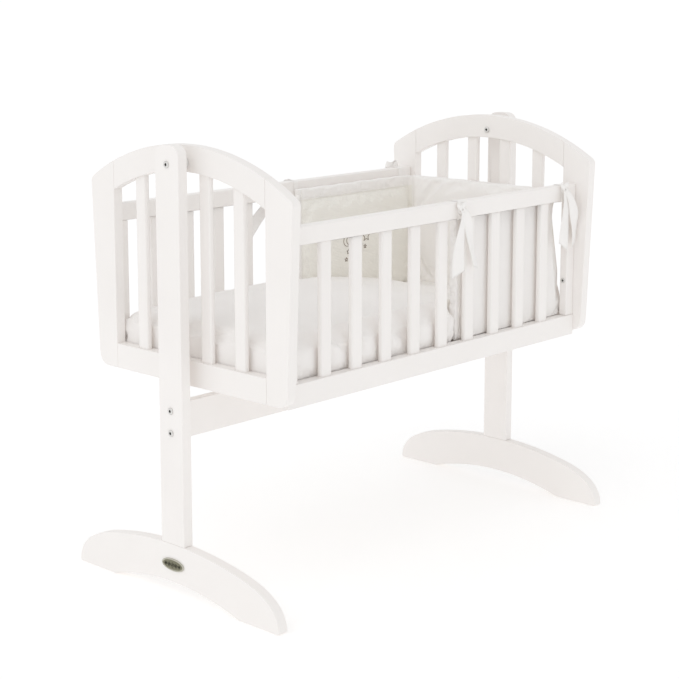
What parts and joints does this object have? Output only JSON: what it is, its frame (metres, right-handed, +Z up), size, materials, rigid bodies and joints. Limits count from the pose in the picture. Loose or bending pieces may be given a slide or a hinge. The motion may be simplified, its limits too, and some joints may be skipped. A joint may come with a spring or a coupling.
{
  "type": "swinging baby cradle",
  "caption": "Barred wooden baby cradle with arched ends, hung on pivot bolts between two arched-foot uprights, with mattress, quilt and padded bumper.",
  "frame": {"origin": "on the floor, below the middle of the object", "axes": "+X along the cradle to its head end, -Y the front, +Z up"},
  "size_m": [1.0496, 0.586, 0.889],
  "materials": {
    "white_paint": "satin white paint",
    "steel": "zinc-plated",
    "plastic": "matte",
    "bronze_plate": "darkened, raised rim",
    "mattress_cover": "woven cotton cover",
    "quilt_cotton": "soft woven cotton",
    "bumper_cotton": "soft woven cotton, cream inner panel"
  },
  "bodies": {
    "stand": {"left_upright": "white_paint", "right_upright": "white_paint", "left_foot": "white_paint", "right_foot": "white_paint", "stretcher": "white_paint", "foot_badge": "bronze_plate", "left_pivot_bolt": "steel", "right_pivot_bolt": "steel", "left_pivot_spacer": "plastic", "right_pivot_spacer": "plastic", "left_stretcher_bolt_lower": "steel", "left_stretcher_bolt_upper": "steel", "right_stretcher_bolt_lower": "steel", "right_stretcher_bolt_upper": "steel"},
    "cradle": {"left_arch_rail": "white_paint", "left_sill_rail": "white_paint", "left_front_stile": "white_paint", "left_back_stile": "white_paint", "left_end_bar_1": "white_paint", "left_end_bar_2": "white_paint", "left_end_bar_3": "white_paint", "left_end_bar_4": "white_paint", "right_arch_rail": "white_paint", "right_sill_rail": "white_paint", "right_front_stile": "white_paint", "right_back_stile": "white_paint", "right_end_bar_1": "white_paint", "right_end_bar_2": "white_paint", "right_end_bar_3": "white_paint", "right_end_bar_4": "white_paint", "front_top_rail": "white_paint", "front_bottom_rail": "white_paint", "front_left_post": "white_paint", "front_right_post": "white_paint", "front_bar_1": "white_paint", "front_bar_2": "white_paint", "front_bar_3": "white_paint", "front_bar_4": "white_paint", "front_bar_5": "white_paint", "front_bar_6": "white_paint", "front_bar_7": "white_paint", "front_bar_8": "white_paint", "front_bar_9": "white_paint", "back_top_rail": "white_paint", "back_bottom_rail": "white_paint", "back_left_post": "white_paint", "back_right_post": "white_paint", "back_bar_1": "white_paint", "back_bar_2": "white_paint", "back_bar_3": "white_paint", "back_bar_4": "white_paint", "back_bar_5": "white_paint", "back_bar_6": "white_paint", "back_bar_7": "white_paint", "back_bar_8": "white_paint", "back_bar_9": "white_paint", "base_board": "white_paint", "mattress": "mattress_cover", "quilt": "quilt_cotton", "bumper": "bumper_cotton"}
  },
  "joints": [
    {"name": "cradle_swing", "type": "hinge", "parent": "stand", "child": "cradle", "pos_m": [0, 0, 0.852], "axis": [1, 0, 0], "range_deg": [-10, 10]}
  ]
}
